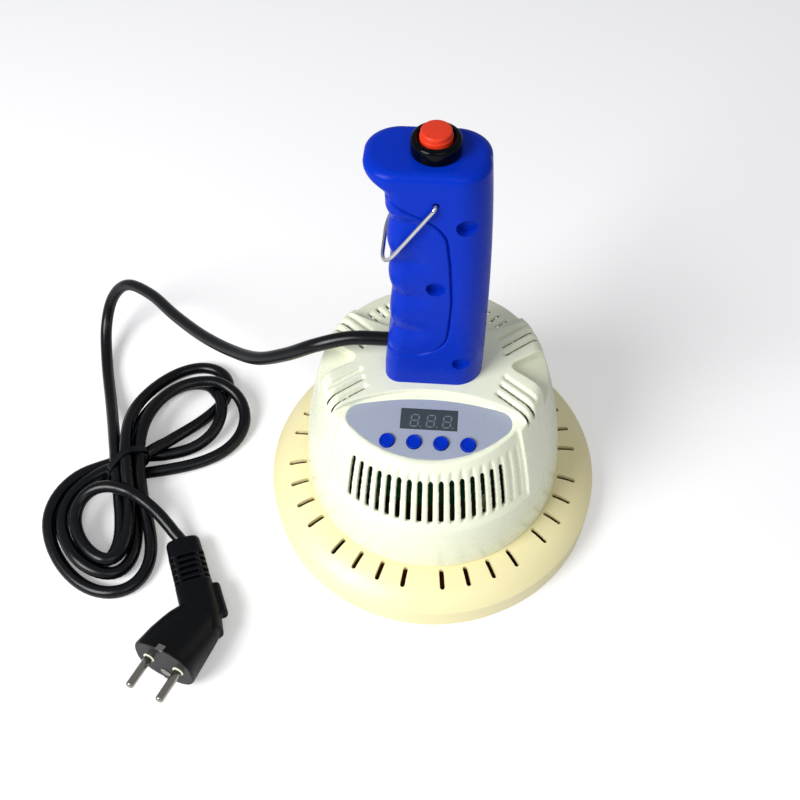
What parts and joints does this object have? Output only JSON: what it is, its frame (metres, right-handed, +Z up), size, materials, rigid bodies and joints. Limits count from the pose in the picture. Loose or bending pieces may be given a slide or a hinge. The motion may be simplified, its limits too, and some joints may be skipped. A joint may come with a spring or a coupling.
{
  "type": "induction cap sealer",
  "caption": "Hand-held induction cap sealer: a round sealing head under a vented dome with a control panel, an upright finger grip with a push switch and hanging bail, and a mains lead.",
  "frame": {"origin": "centre of the flat sealing face, at the bottom of the round head", "axes": "+Z up along the head's axis towards the push switch, -Y towards the control panel, -X towards the finger side of the grip where the lead leaves"},
  "size_m": [0.3401, 0.2746, 0.2762],
  "materials": {
    "cream_abs": "moulded gloss",
    "ivory_abs": "moulded gloss",
    "blue_abs": "moulded satin gloss",
    "panel_film": "printed film",
    "display_lens": "tinted lens",
    "black_plastic": "moulded gloss",
    "red_plastic": "moulded gloss",
    "steel": "zinc plated",
    "wire_steel": "bright drawn wire",
    "nickel": "nickel plated",
    "brass": "bright",
    "copper_wire": "enamelled wire",
    "ferrite": "sintered",
    "mica": "sheet",
    "circuit_board": "lacquered",
    "aluminium": "extruded",
    "capacitor_sleeve": "shrink sleeve",
    "phenolic": "sheet",
    "cord_rubber": "smooth sheath",
    "plug_rubber": "moulded"
  },
  "bodies": {
    "sealer": {"sealing_face": "cream_abs", "head_cover": "cream_abs", "face_screws": "steel", "mica_sheet": "mica", "induction_coil": "copper_wire", "ferrite_bars": "ferrite", "dome_housing": "ivory_abs", "dome_screws": "steel", "insulating_disc": "phenolic", "power_board": "circuit_board", "board_screws": "steel", "heat_sink": "aluminium", "power_transistors": "black_plastic", "bus_capacitors": "capacitor_sleeve", "filter_choke": "copper_wire", "output_transformer": "ferrite", "fan_frame": "black_plastic", "fan_screws": "steel", "control_panel": "panel_film", "display_window": "display_lens", "display_module": "black_plastic", "control_board": "circuit_board", "grip_front": "blue_abs", "grip_rear": "blue_abs", "grip_screws": "steel", "foot_screws": "steel", "switch_body": "black_plastic", "switch_nut": "steel", "switch_lugs": "brass", "cord_anchor": "black_plastic", "cord_lead": "cord_rubber", "cord_hank": "cord_rubber", "cord_tail": "cord_rubber", "cord_tie": "cord_rubber", "plug_body": "plug_rubber", "plug_pins": "nickel", "plug_clips": "nickel"},
    "key_1": {"key_1": "blue_abs"},
    "key_2": {"key_2": "blue_abs"},
    "key_3": {"key_3": "blue_abs"},
    "key_4": {"key_4": "blue_abs"},
    "push_cap": {"switch_cap": "red_plastic"},
    "bail": {"hanging_bail": "wire_steel"},
    "fan_wheel": {"fan_rotor": "black_plastic"}
  },
  "joints": [
    {"name": "key_1_press", "type": "slide", "parent": "sealer", "child": "key_1", "axis": [0, 0.1478, -0.989], "range_m": [0, 0.0005], "stiffness_N_per_m": 400, "springref_m": -0.001},
    {"name": "key_2_press", "type": "slide", "parent": "sealer", "child": "key_2", "axis": [0, 0.1478, -0.989], "range_m": [0, 0.0005], "stiffness_N_per_m": 400, "springref_m": -0.001},
    {"name": "key_3_press", "type": "slide", "parent": "sealer", "child": "key_3", "axis": [0, 0.1478, -0.989], "range_m": [0, 0.0005], "stiffness_N_per_m": 400, "springref_m": -0.001},
    {"name": "key_4_press", "type": "slide", "parent": "sealer", "child": "key_4", "axis": [0, 0.1478, -0.989], "range_m": [0, 0.0005], "stiffness_N_per_m": 400, "springref_m": -0.001},
    {"name": "push_switch", "type": "slide", "parent": "sealer", "child": "push_cap", "axis": [0, 0, -1], "range_m": [0, 0.0025], "stiffness_N_per_m": 800, "springref_m": -0.002},
    {"name": "bail_swing", "type": "hinge", "parent": "sealer", "child": "bail", "pos_m": [0.001, 0, 0.2488], "axis": [0, 1, 0], "range_deg": [0, 285]},
    {"name": "fan_spin", "type": "hinge", "parent": "sealer", "child": "fan_wheel", "pos_m": [0, 0.03599, 0.101], "axis": [0, 0, 1], "continuous": true}
  ]
}
